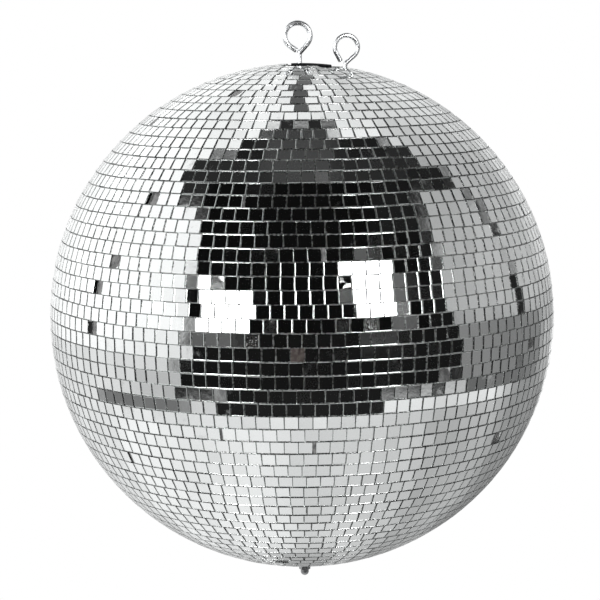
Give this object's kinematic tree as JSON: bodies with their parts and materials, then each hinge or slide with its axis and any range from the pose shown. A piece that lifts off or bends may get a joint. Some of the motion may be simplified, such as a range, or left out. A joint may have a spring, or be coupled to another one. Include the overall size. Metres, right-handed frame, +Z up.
{
  "type": "mirror ball",
  "caption": "Hollow ball faced all over with small flat square mirrors in level rows, hung by a wire eye on its axis, with a smaller safety eye beside it.",
  "frame": {"origin": "on the ball's axis, level with the centre of the hanging eye's ring", "axes": "+Z up the ball's axis, +X towards the safety eye, +Y through the hanging eye's ring, away from the viewer"},
  "size_m": [0.4996, 0.4996, 0.5591],
  "materials": {
    "mirror_tiles": "polished silvered glass",
    "grey_core": "matt, under the mirrors",
    "black_plate": "matt black",
    "zinc_steel": "bright zinc plated"
  },
  "bodies": {
    "ball": {"core_upper_half": "grey_core", "core_lower_half": "grey_core", "equator_joint_ring": "grey_core", "mirror_rows_equator": "mirror_tiles", "mirror_rows_upper_1": "mirror_tiles", "mirror_rows_lower_1": "mirror_tiles", "mirror_rows_upper_2": "mirror_tiles", "mirror_rows_lower_2": "mirror_tiles", "mirror_rows_upper_3": "mirror_tiles", "mirror_rows_lower_3": "mirror_tiles", "mirror_rows_upper_4": "mirror_tiles", "mirror_rows_lower_4": "mirror_tiles", "mirror_rows_upper_5": "mirror_tiles", "mirror_rows_lower_5": "mirror_tiles", "mirror_rows_upper_6": "mirror_tiles", "mirror_rows_lower_6": "mirror_tiles", "mounting_plate": "black_plate", "main_eye": "zinc_steel", "spreader_disc": "zinc_steel", "coupling_nut": "zinc_steel", "through_rod": "zinc_steel", "bottom_inner_washer": "zinc_steel", "bottom_inner_nut": "zinc_steel", "bottom_washer": "zinc_steel", "bottom_hex_nut": "zinc_steel", "bottom_cap_nut": "zinc_steel", "safety_inner_washer": "zinc_steel", "safety_inner_nut": "zinc_steel"},
    "safety_eye_body": {"safety_eye": "zinc_steel"}
  },
  "joints": [
    {"name": "safety_eye_turn", "type": "hinge", "parent": "ball", "child": "safety_eye_body", "pos_m": [0.0481, 0, -0.01193], "axis": [0.1788, 0, 0.9839], "range_deg": [-180, 180]}
  ]
}
